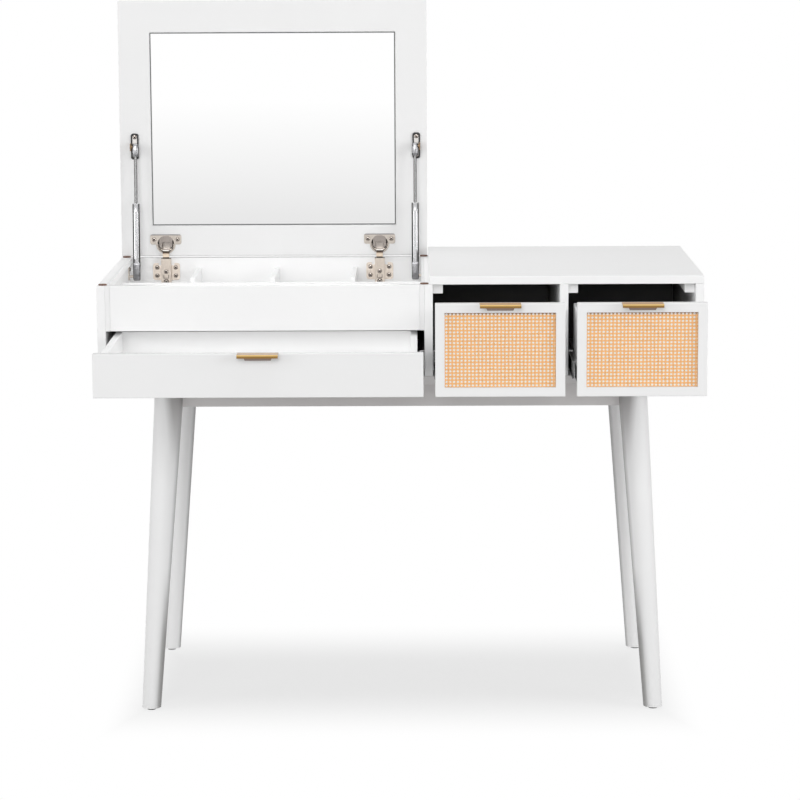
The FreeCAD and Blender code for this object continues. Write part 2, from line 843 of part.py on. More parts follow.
def cane_webbing(name):
    """The webbing as one sheet with a grid of square gaps."""
    x0, x1, z0, z1 = cane_window(name)
    c = cane_edge_clearance
    x0, x1, z0, z1 = x0 + c, x1 - c, z0 + c, z1 - c
    y = drawer_y + cane_recess
    pitch_x = (x1 - x0) / cane_columns
    pitch_z = (z1 - z0) / cane_rows
    outline = [Vector(x0, y, z0), Vector(x1, y, z0), Vector(x1, y, z1), Vector(x0, y, z1)]
    wires = [Part.makePolygon(outline + outline[:1])]
    gap_x = pitch_x * (1 - cane_strand_share) / 2
    gap_z = pitch_z * (1 - cane_strand_share) / 2
    for column in range(cane_columns):
        for row in range(cane_rows):
            cx = x0 + (2 * column + 1) * pitch_x / 2
            cz = z0 + (2 * row + 1) * pitch_z / 2
            gap = [Vector(cx - gap_x, y, cz - gap_z), Vector(cx - gap_x, y, cz + gap_z),
                   Vector(cx + gap_x, y, cz + gap_z), Vector(cx + gap_x, y, cz - gap_z)]
            wires.append(Part.makePolygon(gap + gap[:1]))
    return Part.Face(wires).extrude(Y_AXIS * cane_thickness)


def cane_backing_board(name):
    x0, x1, z0, z1 = cane_window(name)
    y0 = drawer_y + cane_recess + cane_thickness
    return box(x0, x1, y0, y0 + cane_backing, z0, z1)


def drawer_box_size(name):
    """Outer width, floor and top of a drawer's box behind its front."""
    x0, x1 = bays[name]
    z0 = floor_z + drawer_box_floor_gap
    z1 = drawer_top_z(name) - wide_box_lip_drop if name == "wide" else z0 + cane_box_height
    return x0 + slide_thickness, x1 - slide_thickness, z0, z1


def drawer_walls(name):
    """Two sides and a back."""
    x0, x1, z0, z1 = drawer_box_size(name)
    y0 = drawer_y + panel
    y1 = y0 + drawer_box_depth
    w = drawer_wall
    return [board(x0, x0 + w, y0, y1, z0, z1), board(x1 - w, x1, y0, y1, z0, z1),
            box(x0 + w, x1 - w, y1 - w, y1, z0, z1)]


def drawer_bottom_board(name):
    x0, x1, z0, z1 = drawer_box_size(name)
    y0 = drawer_y + panel
    w = drawer_wall
    z = z0 + drawer_bottom_rise
    return box(x0 + w, x1 - w, y0, y0 + drawer_box_depth - w, z, z + drawer_bottom)


# Screws in the carcass
def carcass_seats():
    """Every screw seat on the uprights and the back panel, with the way its shank runs."""
    seats = []
    for x in hinge_xs:
        seats += [(seat, Y_AXIS) for seat in plate_screw_seats(x)]
    seats += [foot_screw_seat(side) for side in strut_sides]
    return seats


def arm_seats():
    return [seat for x in hinge_xs for seat in arm_screw_seats(x)]


def carcass_screws():
    screws = [screw(seat, way) for seat, way in carcass_seats()]
    heads = [rod(screw_head_diameter, seat - Y_AXIS * screw_head_height, seat) for seat in arm_seats()]
    return screws + heads


carcass_pilots = [pilot(seat, way) for seat, way in carcass_seats()]

# Every node and its pieces
nodes = {
    "side_panel_left": [cut_all(side_panel(left_x, left_face_x, True), carcass_pilots)],
    "side_panel_right": [side_panel(right_face_x, right_x, False)],
    "middle_partition": [cut_all(middle_partition(), carcass_pilots)],
    "centre_partition": [centre_partition()],
    "bottom_panel": [bottom_panel()],
    "back_panel_left": [cut_all(back_panel_left(), carcass_pilots)],
    "back_panel_right": [back_panel_right()],
    "table_top": [table_top()],
    "top_battens": top_battens(),
    "front_rail": [front_rail()],
    "rim_strips": rim_strips(),
    "compartment_floor": [compartment_floor()],
    "compartment_dividers": compartment_dividers(),
    "lid_bumpers": lid_bumpers(),
    "leg_glides": leg_glides(),
    "leg_fixings": leg_fixings(),
    "apron_front": [apron(((-1, -1), (1, -1)), True)],
    "apron_back": [apron(((-1, 1), (1, 1)), True)],
    "apron_left": [apron(((-1, -1), (-1, 1)), False)],
    "apron_right": [apron(((1, -1), (1, 1)), False)],
    "hinge_plates": [cut_all(hinge_plate(x), carcass_pilots) for x in hinge_xs],
    "hinge_arms": [hinge_arm(x) for x in hinge_xs] + [hinge_pin(x) for x in hinge_xs],
    "strut_foot_brackets": [cut_all(strut_foot_bracket(side), carcass_pilots) for side in strut_sides],
    "carcass_screws": carcass_screws(),
    "lid_board": [lid_board()],
    "mirror_glass": [mirror_glass()],
    "hinge_cups": hinge_cups(),
    "strut_lid_brackets": strut_lid_brackets(),
    "lid_screws": lid_screws(),
    "slide_outer_rails": [rail for name in bays for rail in rails(name, outer_rail)],
    "wide_front": [wide_front()],
}
for side_name, side_sign in (("left", -1), ("right", 1)):
    nodes["leg_front_" + side_name] = [leg(side_sign, -1)]
    nodes["leg_rear_" + side_name] = [leg(side_sign, 1)]
    nodes["strut_cylinder_" + side_name] = strut_cylinder(side_name)
    nodes["strut_rod_" + side_name] = strut_rod(side_name)
for bay in bays:
    nodes[bay + "_walls"] = drawer_walls(bay)
    nodes[bay + "_bottom"] = [drawer_bottom_board(bay)]
    nodes[bay + "_pull"] = [drawer_pull(bay)]
    nodes[bay + "_inner_rails"] = rails(bay, inner_rail)
    nodes[bay + "_middle_rails"] = rails(bay, middle_rail)
for bay in ("cane_left", "cane_right"):
    nodes[bay + "_frame"] = cane_frame(bay)
    nodes[bay + "_webbing"] = [cane_webbing(bay)]
    nodes[bay + "_backing"] = [cane_backing_board(bay)]

os.makedirs("parts", exist_ok=True)
for node, pieces in nodes.items():
    whole = pieces[0] if len(pieces) == 1 else Part.makeCompound(pieces)
    whole.exportStep("parts/" + node + ".step")
print(len(nodes), "nodes,", sum(len(pieces) for pieces in nodes.values()), "pieces")
print("strut open", round(strut_open_length, 2), "closed", round(strut_closed_length, 2))
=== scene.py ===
# %% [markdown]
# # A white vanity table, dressed for its picture
# The solid table comes ready made: boards, hinges, struts and drawers are already where they belong,
# in metres, with the floor at zero height. This lesson gives each of them its finish, adds the woven cane
# and the small pressed details of the hardware, and sets up a bright studio round it all.

# %% Load the solid table
import bpy
import bmesh
import math
from mathutils import Matrix, Vector


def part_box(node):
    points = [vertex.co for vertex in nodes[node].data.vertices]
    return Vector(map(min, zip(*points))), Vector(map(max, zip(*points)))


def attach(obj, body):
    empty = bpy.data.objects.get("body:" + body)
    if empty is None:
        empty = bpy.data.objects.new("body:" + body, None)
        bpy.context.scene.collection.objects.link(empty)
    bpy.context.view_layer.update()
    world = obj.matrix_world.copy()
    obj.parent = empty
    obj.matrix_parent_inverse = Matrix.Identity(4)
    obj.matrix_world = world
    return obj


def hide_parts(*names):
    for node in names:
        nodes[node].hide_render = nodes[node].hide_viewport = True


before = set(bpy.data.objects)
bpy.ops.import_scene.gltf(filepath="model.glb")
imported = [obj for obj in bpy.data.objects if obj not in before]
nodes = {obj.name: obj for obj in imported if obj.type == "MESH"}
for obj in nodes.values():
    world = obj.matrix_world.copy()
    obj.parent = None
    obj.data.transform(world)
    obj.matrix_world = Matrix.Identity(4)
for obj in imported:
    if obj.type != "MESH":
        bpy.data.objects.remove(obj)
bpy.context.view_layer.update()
scene = bpy.context.scene
scene.view_settings.view_transform = "Standard"

# %% [markdown]
# ## The camera
# A product picture like this is taken from far away with a long lens, which keeps upright edges nearly
# parallel. The camera stands a little to the right of the middle, well above the table's top, and looks
# down by about nine degrees. A camera in Blender looks along its own minus Z axis, so its matrix is put
# together from three directions: right, up, and away from the view.

# %% Camera
view_spot = Vector((0.0310, -5.3336, 1.4102))
turn_left, look_down, lean = -0.00615, 0.15913, 0.00469
image_side = 800
focal_pixels = 2959.9
sensor_width = 36.0


def camera_axes(turn, down, roll):
    """Right, up and forward of a camera that faces +Y, turned, tipped down and rolled."""
    right = Vector((math.cos(turn), -math.sin(turn), 0))
    ahead = Vector((math.sin(turn), math.cos(turn), 0))
    up = Vector((0, 0, 1))
    forward = ahead * math.cos(down) - up * math.sin(down)
    top = ahead * math.sin(down) + up * math.cos(down)
    rolled_right = right * math.cos(roll) - top * math.sin(roll)
    rolled_top = right * math.sin(roll) + top * math.cos(roll)
    return rolled_right, rolled_top, forward


side, top, forward = camera_axes(turn_left, look_down, lean)
camera_data = bpy.data.cameras.new("studio_camera")
camera_data.sensor_fit = "HORIZONTAL"
camera_data.sensor_width = sensor_width
camera_data.lens = focal_pixels / image_side * sensor_width
camera = bpy.data.objects.new("studio_camera", camera_data)
scene.collection.objects.link(camera)
turned_axes = Matrix((side, top, -forward)).transposed().to_4x4()
camera.matrix_world = Matrix.Translation(view_spot) @ turned_axes
scene.camera = camera
print("camera lens", round(camera_data.lens, 1), "mm")

# %% [markdown]
# ## Steps of a node tree
# Every finish in this lesson is a small tree of shader nodes. A few short functions keep such a tree
# readable: each adds one step and returns the socket that the next step starts from.


# %% Helpers for values
def add(tree, kind, **settings):
    """A node with some properties or inputs set. An input's name has an underscore for each space."""
    node = tree.nodes.new(kind)
    for label, value in settings.items():
        if hasattr(node, label):
            setattr(node, label, value)
        else:
            node.inputs[label.replace("_", " ")].default_value = value
    return node


def feed(tree, goal, value):
    """Fills an input with another node's output or with a plain value."""
    if isinstance(value, bpy.types.NodeSocket):
        tree.links.new(value, goal)
    else:
        goal.default_value = value


def maths(tree, operation, first, second=0.0, **settings):
    """One step of arithmetic on sockets or plain values."""
    node = add(tree, "ShaderNodeMath", operation=operation, **settings)
    feed(tree, node.inputs[0], first)
    feed(tree, node.inputs[1], second)
    return node.outputs[0]


def join(tree, operation, *sockets):
    """Sockets put together one after the other with one kind of arithmetic."""
    result = sockets[0]
    for socket in sockets[1:]:
        result = maths(tree, operation, result, socket)
    return result


def between(tree, socket, low, high):
    """1 where a value lies between two limits, and 0 elsewhere."""
    above = maths(tree, "GREATER_THAN", socket, low)
    return maths(tree, "MULTIPLY", above, maths(tree, "LESS_THAN", socket, high))


def ramp(tree, value, low, high, to_low=0.0, to_high=1.0, **settings):
    """A value taken from one range to another, and held at the ends."""
    node = add(tree, "ShaderNodeMapRange", **settings)
    for label, given in (("Value", value), ("From Min", low), ("From Max", high),
                         ("To Min", to_low), ("To Max", to_high)):
        feed(tree, node.inputs[label], given)
    return node.outputs["Result"]


print("helpers for values ready")


# %% Helpers for places and colours
def noise(tree, vector, scale, **settings):
    """Cloudy noise between 0 and 1."""
    node = add(tree, "ShaderNodeTexNoise", **settings)
    tree.links.new(vector, node.inputs["Vector"])
    feed(tree, node.inputs["Scale"], scale)
    return node.outputs["Fac"]


def mix_colour(tree, factor, first, second, blend="MIX"):
    """A blend of two colours. The factor and the colours may be sockets or plain values."""
    node = add(tree, "ShaderNodeMix", data_type="RGBA", blend_type=blend)
    for index, value in ((0, factor), (6, first), (7, second)):
        feed(tree, node.inputs[index], value)
    return node.outputs[2]


def spots_of(tree):
    """The place of a point on the object."""
    return add(tree, "ShaderNodeTexCoord").outputs["Object"]


def axes_of(tree, kind):
    """X, Y and Z of a point's place on the object, or of the way that its surface faces ("Normal")."""
    axes = add(tree, "ShaderNodeSeparateXYZ")
    tree.links.new(add(tree, "ShaderNodeTexCoord").outputs[kind], axes.inputs[0])
    return axes.outputs


def grey(level):
    """A plain grey that lets no light through."""
    return (level, level, level, 1)


print("helpers for places and colours ready")

# %% [markdown]
# ## Floor, sky and lamps
# White furniture on white needs soft light from many sides, and one side a little stronger so that round
# legs look round. The sky is plain white where the camera, a mirror or polished metal sees it, and dimmer
# as a lamp. The floor is a pale matt sheet. Away from the table it turns into the white background where
# it is looked at, and close to the table it keeps the shadow.

# %% Sky and lamps
ambient = 0.25


def seen_directly(tree):
    """A value of 1 for rays from the camera, a mirror or glass, and 0 for rays that carry light."""
    path = add(tree, "ShaderNodeLightPath").outputs
    return join(tree, "MAXIMUM", path["Is Camera Ray"], path["Is Glossy Ray"], path["Is Transmission Ray"])


def soft_lamp(name, spot, target, size, power):
    """A square lamp that faces a point."""
    data = bpy.data.lights.new(name, "AREA")
    data.shape = "SQUARE"
    data.size = size
    data.energy = power
    lamp = bpy.data.objects.new(name, data)
    lamp.location = spot
    lamp.rotation_euler = (Vector(target) - Vector(spot)).to_track_quat("-Z", "Y").to_euler()
    scene.collection.objects.link(lamp)
    return lamp


world = bpy.data.worlds.new("white_studio")
scene.world = world
world.use_nodes = True
tree = world.node_tree
sky = tree.nodes["Background"]
sky.inputs["Color"].default_value = grey(1.0)
tree.links.new(ramp(tree, seen_directly(tree), 0.0, 1.0, to_low=ambient), sky.inputs["Strength"])

soft_lamp("front_lamp", (-1.2, -9.0, 4.2), (0, 0, 0.7), size=5.0, power=340)
soft_lamp("left_lamp", (-4.5, -2.2, 1.7), (0, 0, 0.5), size=2.2, power=68)
soft_lamp("right_lamp", (4.5, -2.2, 1.7), (0, 0, 0.5), size=2.2, power=96)
soft_lamp("roof_lamp", (0.0, 0.1, 3.8), (0, 0.1, 0), size=2.8, power=42)
back_lamp = soft_lamp("back_lamp", (0.0, 6.0, 1.5), (0, 0.3, 0.6), size=2.5, power=60)
back_lamp.visible_glossy = False
print("sky and five lamps are set")

# %% Floor
floor_half = 30
white_near = 0.69
case_low, case_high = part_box("bottom_panel")
table_middle = (case_low[1] + case_high[1]) / 2
floor_mesh = bpy.data.meshes.new("floor_sheet")
floor_corners = [(x * floor_half, y * floor_half, 0) for x, y in ((-1, -1), (1, -1), (1, 1), (-1, 1))]
floor_mesh.from_pydata(floor_corners, [], [(0, 1, 2, 3)])
floor = bpy.data.objects.new("floor_sheet", floor_mesh)
scene.collection.objects.link(floor)

floor_paint = bpy.data.materials.new("floor_paper")
floor_paint.use_nodes = True
tree = floor_paint.node_tree
tree.nodes.clear()
matt = add(tree, "ShaderNodeBsdfDiffuse", Color=grey(0.55))
glow = add(tree, "ShaderNodeEmission")
axes = axes_of(tree, "Object")
edges = []
for axis, middle, near, far in (("X", 0.0, 0.42, 0.54), ("Y", table_middle, 0.10, 0.44)):
    away = maths(tree, "ABSOLUTE", maths(tree, "SUBTRACT", axes[axis], middle))
    edges.append(ramp(tree, away, near, far, to_low=white_near, interpolation_type="SMOOTHSTEP"))
white_share = maths(tree, "MULTIPLY", join(tree, "MAXIMUM", *edges), seen_directly(tree))
blend = add(tree, "ShaderNodeMixShader")
for goal, source in zip(blend.inputs, (white_share, matt.outputs[0], glow.outputs[0])):
    tree.links.new(source, goal)
tree.links.new(blend.outputs[0], add(tree, "ShaderNodeOutputMaterial").inputs["Surface"])
floor_mesh.materials.append(floor_paint)
print("floor round y =", round(table_middle, 3))

# %% [markdown]
# ## Shared surface effects
# Real lacquer is never quite even: the spray leaves a faint ripple, the board under it a slow drift of
# tone, and hands a few duller patches. Metal has fine lines from brushing. Each of these effects is a node
# group, so that several finishes can use it with their own values. A group gives out only what varies over
# the surface.

# %% Group helpers
COLOUR, VALUE, DIRECTION = "NodeSocketColor", "NodeSocketFloat", "NodeSocketVector"


def new_group(name, inputs, outputs):
    """An empty shader group, the sockets it starts from and the sockets it ends in."""
    group = bpy.data.node_groups.new(name, "ShaderNodeTree")
    for label, kind, value in inputs:
        socket = group.interface.new_socket(name=label, in_out="INPUT", socket_type=kind)
        socket.default_value = value
    for label, kind in outputs:
        group.interface.new_socket(name=label, in_out="OUTPUT", socket_type=kind)
    return group, group.nodes.new("NodeGroupInput").outputs, group.nodes.new("NodeGroupOutput").inputs


def give_out(group, end, **results):
    """Ends a group in its results."""
    for label, socket in results.items():
        group.links.new(socket, end[label])
    print("group:", group.name)


print("group helpers ready")


# %% Sprayed skin: slow drift of tone, duller patches and a fine ripple
sprayed_skin, start, end = new_group(
    "Sprayed Skin",
    [("Fresh", COLOUR, grey(0.85)), ("Aged", COLOUR, grey(0.82)),
     ("Patch Size", VALUE, 6.0), ("Smooth", VALUE, 0.3), ("Dull", VALUE, 0.42)],
    [("Color", COLOUR), ("Roughness", VALUE), ("Ripple", VALUE)])
place = spots_of(sprayed_skin)
drift = noise(sprayed_skin, place, start["Patch Size"], Detail=3.0, Roughness=0.55)
patches = noise(sprayed_skin, place, scale=38.0, Detail=4.0)
give_out(sprayed_skin, end,
         Color=mix_colour(sprayed_skin, drift, start["Fresh"], start["Aged"]),
         Roughness=ramp(sprayed_skin, patches, 0.0, 1.0, start["Smooth"], start["Dull"]),
         Ripple=noise(sprayed_skin, place, scale=420.0, Detail=1.0))

# %% Brushed lines: fine streaks across a metal surface
brushed_lines, start, end = new_group(
    "Brushed Lines",
    [("Dark", COLOUR, grey(0.4)), ("Bright", COLOUR, grey(0.6)),
     ("Stretch", DIRECTION, (40.0, 900.0, 900.0)), ("Smooth", VALUE, 0.22), ("Dull", VALUE, 0.4)],
    [("Color", COLOUR), ("Roughness", VALUE), ("Lines", VALUE)])
pull = add(brushed_lines, "ShaderNodeVectorMath", operation="MULTIPLY")
brushed_lines.links.new(spots_of(brushed_lines), pull.inputs[0])
brushed_lines.links.new(start["Stretch"], pull.inputs[1])
lines = noise(brushed_lines, pull.outputs["Vector"], scale=1.0, Detail=3.0)
give_out(brushed_lines, end,
         Color=mix_colour(brushed_lines, lines, start["Dark"], start["Bright"]),
         Roughness=ramp(brushed_lines, lines, 0.0, 1.0, start["Smooth"], start["Dull"]),
         Lines=lines)

# %% [markdown]
# ## Inside the drawer bays
# Deep inside the bays little light comes in, so the boards there are painted dark as shade, and the painted
# shade fades in towards the back. A mask by place does that: it is 1 at the back of the three bays and 0 on
# every outer face, and it rises with the distance from the front. In the wide bay only a strip along each
# side is painted dark.

# %% Bay mask
hair = 0.0004
side_strip = 0.03
case_front, bay_floor = case_low[1], case_high[2]
tray_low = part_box("compartment_floor")[0][2]
left_face, rim_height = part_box("side_panel_left")[1][0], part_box("side_panel_left")[1][2]
right_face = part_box("side_panel_right")[0][0]
middle_left, middle_right = (corner[0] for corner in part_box("middle_partition"))
centre_left, centre_right = (corner[0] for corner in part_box("centre_partition"))
back_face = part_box("back_panel_right")[0][1]

# Painted shade: a mask for the dark colour that stands in for the shade deep inside the bays.
painted_bay_shade, start, end = new_group(
    "Painted Bay Shade", [("Fade Start", VALUE, 0.01), ("Fade Length", VALUE, 0.05)], [("Mask", VALUE)])
axes = axes_of(painted_bay_shade, "Object")
rooms = []
for x0, x1, ceiling in ((left_face, left_face + side_strip, tray_low),
                        (middle_left - side_strip, middle_left, tray_low),
                        (middle_right, centre_left, rim_height), (centre_right, right_face, rim_height)):
    rooms.append(maths(painted_bay_shade, "MULTIPLY", between(painted_bay_shade, axes["X"], x0 - hair, x1 + hair),
                       between(painted_bay_shade, axes["Z"], bay_floor - hair, ceiling + hair)))
not_back = maths(painted_bay_shade, "LESS_THAN", axes["Y"], back_face + hair)
fade_from = maths(painted_bay_shade, "ADD", start["Fade Start"], case_front)
depth = maths(painted_bay_shade, "SUBTRACT", axes["Y"], fade_from)
fade = maths(painted_bay_shade, "DIVIDE", depth, start["Fade Length"], use_clamp=True)
give_out(painted_bay_shade, end, Mask=join(painted_bay_shade, "MULTIPLY", join(painted_bay_shade, "MAXIMUM", *rooms), not_back, fade))

# %% [markdown]
# ## Finishes
# Each finish below is one material round a Principled shader. What varies comes from the groups, and what
# is the same all over is set on the shader itself.


# %% Helpers for finishes
def finish(name, **values):
    """A material with one Principled shader, its tree and the shader."""
    material = bpy.data.materials.new(name)
    material.use_nodes = True
    shader = material.node_tree.nodes["Principled BSDF"]
    for label, value in values.items():
        shader.inputs[label.replace("_", " ")].default_value = value
    return material, material.node_tree, shader


def use_group(tree, group, **values):
    """What a group gives out for the values it is given."""
    return add(tree, "ShaderNodeGroup", node_tree=group, **values).outputs


def dress(tree, shader, colour, roughness, height=None, strength=0.08, distance=0.0002):
    """Feeds a shader with a colour, a roughness and, where a height is given, a fine relief."""
    tree.links.new(colour, shader.inputs["Base Color"])
    tree.links.new(roughness, shader.inputs["Roughness"])
    if height is not None:
        relief = add(tree, "ShaderNodeBump", Strength=strength, Distance=distance)
        tree.links.new(height, relief.inputs["Height"])
        tree.links.new(relief.outputs["Normal"], shader.inputs["Normal"])


def paint(material, *names):
    """Gives a finish to whole nodes of the solid table."""
    for name in names:
        for place in nodes[name].material_slots:
            place.material = material


print("finish helpers ready")

# %% [markdown]
# ## White lacquer
# White boards differ in how much light reaches them, so each kind has its own white, and some have another
# one on their level faces. A white leg before a white wall keeps its shape only by its shades: the side
# towards the middle of the table is darker at its edge, near the case and near the floor, where the least
# light comes in.

# %% Lacquer maker
# Painted shade: the dark colour deep inside the bays, where little light comes in.
bay_shade_colour = (0.095, 0.093, 0.093, 1)
level_from = 0.7
front_depth = 0.02
sheltered_height = 0.17
floor_shade_top, floor_shade_full = 0.26, 0.13
edge_turn, edge_askew = (0.3, 0.6), (0.3, 0.92)
shelter_turn, floor_askew = (0.45, 1.0), (0.0, 0.25)


def shade_leg(tree, colour, inner, under_case, near_floor):
    """Darkens the side of a leg that faces the middle: at its edge, near the case and near the floor."""
    spot, ways = axes_of(tree, "Object"), axes_of(tree, "Normal")
    outer_way = maths(tree, "SIGN", spot["X"])
    inwards = maths(tree, "MULTIPLY", ways["X"], maths(tree, "MULTIPLY", outer_way, -1.0))
    askew = add(tree, "ShaderNodeLayerWeight", Blend=0.5).outputs["Facing"]
    edge = maths(tree, "MULTIPLY", ramp(tree, inwards, *edge_turn), ramp(tree, askew, *edge_askew))
    colour = mix_colour(tree, edge, colour, inner)
    if under_case:
        near_top = ramp(tree, spot["Z"], bay_floor - sheltered_height, bay_floor)
        sheltered = ramp(tree, maths(tree, "ADD", inwards, near_top), *shelter_turn)
        colour = mix_colour(tree, maths(tree, "MULTIPLY", sheltered, near_top), colour, under_case)
    if near_floor:
        low_down = ramp(tree, spot["Z"], floor_shade_top, floor_shade_full)
        turned = maths(tree, "MULTIPLY", ramp(tree, inwards, 0.0, 1.0), ramp(tree, askew, *floor_askew))
        shade = maths(tree, "MULTIPLY", low_down, turned)
        colour = mix_colour(tree, shade, colour, near_floor)
    return colour


def lacquer(name, fresh, aged, bays_shaded=False, level=None, front=None,
            inner=None, under_case=None, near_floor=None):
    """White lacquer, with painted shade deep in the bays where asked, and painted shades of their own for
    level faces, for the case's front edge and for legs.
    """
    material, tree, shader = finish(name, IOR=1.46)
    skin = use_group(tree, sprayed_skin, Fresh=fresh, Aged=aged, Patch_Size=5.0, Smooth=0.34, Dull=0.46)
    colour = skin["Color"]
    # Painted shade deep inside the bays.
    if bays_shaded:
        shade_in_bay = use_group(tree, painted_bay_shade, Fade_Start=0.26, Fade_Length=0.2)
        colour = mix_colour(tree, shade_in_bay["Mask"], colour, bay_shade_colour)
    if front:
        in_front = maths(tree, "LESS_THAN", axes_of(tree, "Object")["Y"], case_front + front_depth)
        colour = mix_colour(tree, in_front, colour, front)
    if level:
        is_level = maths(tree, "GREATER_THAN", axes_of(tree, "Normal")["Z"], level_from)
        colour = mix_colour(tree, is_level, colour, level)
    if inner:
        colour = shade_leg(tree, colour, inner, under_case, near_floor)
    dress(tree, shader, colour, skin["Roughness"], skin["Ripple"], strength=0.06, distance=0.0004)
    return material


print("lacquer maker ready")

# %% Lacquer on the case and the base
# The bottom panel and the aprons sit in shade under the drawers, so they get a greyer white: painted shade.
shaded_fresh, shaded_aged = (0.76, 0.74, 0.735, 1), (0.72, 0.70, 0.695, 1)
paint(lacquer("case_lacquer", grey(0.90), grey(0.87), bays_shaded=True),
      "side_panel_left", "side_panel_right", "middle_partition", "centre_partition", "back_panel_right")
paint(lacquer("bottom_lacquer", shaded_fresh, shaded_aged, bays_shaded=True), "bottom_panel")
paint(lacquer("top_lacquer", grey(0.91), grey(0.88), bays_shaded=True, level=grey(0.81)), "table_top")
paint(lacquer("tray_lacquer", grey(0.94), grey(0.92), bays_shaded=True, level=grey(0.84)),
      "compartment_floor", "back_panel_left")
paint(lacquer("rim_lacquer", grey(0.98), grey(0.96), level=grey(0.80), front=grey(0.84)), "rim_strips")
paint(lacquer("divider_lacquer", grey(0.94), grey(0.92), level=grey(0.90)), "compartment_dividers")
paint(lacquer("apron_lacquer", shaded_fresh, shaded_aged),
      "apron_front", "apron_back", "apron_left", "apron_right")
paint(lacquer("front_leg", grey(0.89), grey(0.86), inner=grey(0.30), under_case=(0.34, 0.325, 0.32, 1),
              near_floor=(0.27, 0.265, 0.26, 1)), "leg_front_left", "leg_front_right")
paint(lacquer("rear_leg", grey(0.98), grey(0.96), inner=grey(0.12)), "leg_rear_left", "leg_rear_right")
print("lacquer on the case, tray, aprons and legs")

# %% Lacquer on the lid and the drawers
paint(lacquer("lid_lacquer", grey(0.82), grey(0.79)), "lid_board")
paint(lacquer("plain_lacquer", grey(0.89), grey(0.86), level=grey(0.70)),
      "top_battens", "front_rail", "cane_left_frame", "cane_right_frame", "wide_front")
paint(lacquer("cane_board", grey(1.0), grey(0.99)), "cane_left_backing", "cane_right_backing")
paint(lacquer("box_lacquer", grey(0.98), grey(0.96)), "wide_walls", "wide_bottom",
      "cane_left_walls", "cane_left_bottom", "cane_right_walls", "cane_right_bottom")
print("lacquer on the lid, fronts and drawer boxes")

# %% Mirror: silvered glass with a painted reflection that darkens it towards its lower edge, and a ground rim
ground = 0.0015
pale_share = 0.64
ground_glass = (0.17, 0.18, 0.18, 1)
mirror_low, mirror_high = (Vector(corner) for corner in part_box("mirror_glass"))
silver, tree, shader = finish("silvered_glass", Metallic=1.0)
axes = axes_of(tree, "Object")
pale_from = mirror_low.z + pale_share * (mirror_high.z - mirror_low.z)
# Painted reflection: the glass is made darker towards its lower edge.
tone = mix_colour(tree, ramp(tree, axes["Z"], mirror_low.z, pale_from), grey(0.80), grey(1.0))
silvered = maths(tree, "MULTIPLY", between(tree, axes["X"], mirror_low.x + ground, mirror_high.x - ground),
                 between(tree, axes["Z"], mirror_low.z + ground, mirror_high.z - ground))
smears = noise(tree, spots_of(tree), scale=9.0, Detail=3.0)
polish = ramp(tree, smears, 0.0, 1.0, to_low=0.004, to_high=0.02)
dress(tree, shader, mix_colour(tree, silvered, ground_glass, tone), polish)
paint(silver, "mirror_glass")
print("mirror from", round(mirror_low.z, 3), "to", round(mirror_high.z, 3))


# %% Metals
def brushed(name, dark, bright, stretch, smooth=0.25, dull=0.4, **values):
    """A new metal with brushed lines: its material, tree and shader, and what the lines give out."""
    material, tree, shader = finish(name, Metallic=1.0, **values)
    lines = use_group(tree, brushed_lines, Dark=dark, Bright=bright, Stretch=stretch,
                      Smooth=smooth, Dull=dull)
    return material, tree, shader, lines


def metal(name, dark, bright, stretch, smooth=0.25, dull=0.4):
    """Brushed metal of one kind all over."""
    material, tree, shader, lines = brushed(name, dark, bright, stretch, smooth, dull)
    dress(tree, shader, lines["Color"], lines["Roughness"], lines["Lines"])
    return material


nickel_stretch, steel_stretch = (500.0, 500.0, 160.0), (600.0, 600.0, 90.0)
nickel = metal("nickel_plate", (0.61, 0.53, 0.465, 1), (0.88, 0.785, 0.69, 1), nickel_stretch)
zinc = metal("bright_zinc", (0.50, 0.45, 0.41, 1), (0.74, 0.68, 0.62, 1), (700.0, 700.0, 700.0))
foot_zinc = metal("foot_zinc", (0.50, 0.43, 0.37, 1), (0.80, 0.74, 0.68, 1), steel_stretch,
                  smooth=0.3, dull=0.45)
slide_zinc = metal("slide_zinc", grey(0.22), (0.62, 0.62, 0.63, 1), (300.0, 30.0, 900.0),
                   smooth=0.14, dull=0.3)
paint(nickel, "hinge_plates")
paint(foot_zinc, "strut_foot_brackets")
paint(zinc, "carcass_screws", "lid_screws", "leg_fixings")
paint(slide_zinc, "slide_outer_rails", "wide_inner_rails", "wide_middle_rails", "cane_left_inner_rails",
      "cane_left_middle_rails", "cane_right_inner_rails", "cane_right_middle_rails")
print("metals on plates, brackets, screws and slides")

# %% [markdown]
# ## Brass pulls
# Each pull is a strip of brass folded over the drawer front's upper edge. Its top has a darker brass tone,
# the fold at the front has a painted highlight along its upper edge and painted shade below it, and the
# flat part that lies against the drawer is painted dark as shadow. Three masks by place pick these zones
# out of one node.

# %% Pull finish
fold_depth, top_skin = 0.0018, 0.0002
lip_dark, lip_lit = 0.0034, 0.0006
lip_shade, lip_light = (0.27, 0.155, 0.05, 1), (0.84, 0.59, 0.24, 1)
web_shadow_brass, top_brass = (0.24, 0.185, 0.165, 1), (0.45, 0.31, 0.17, 1)


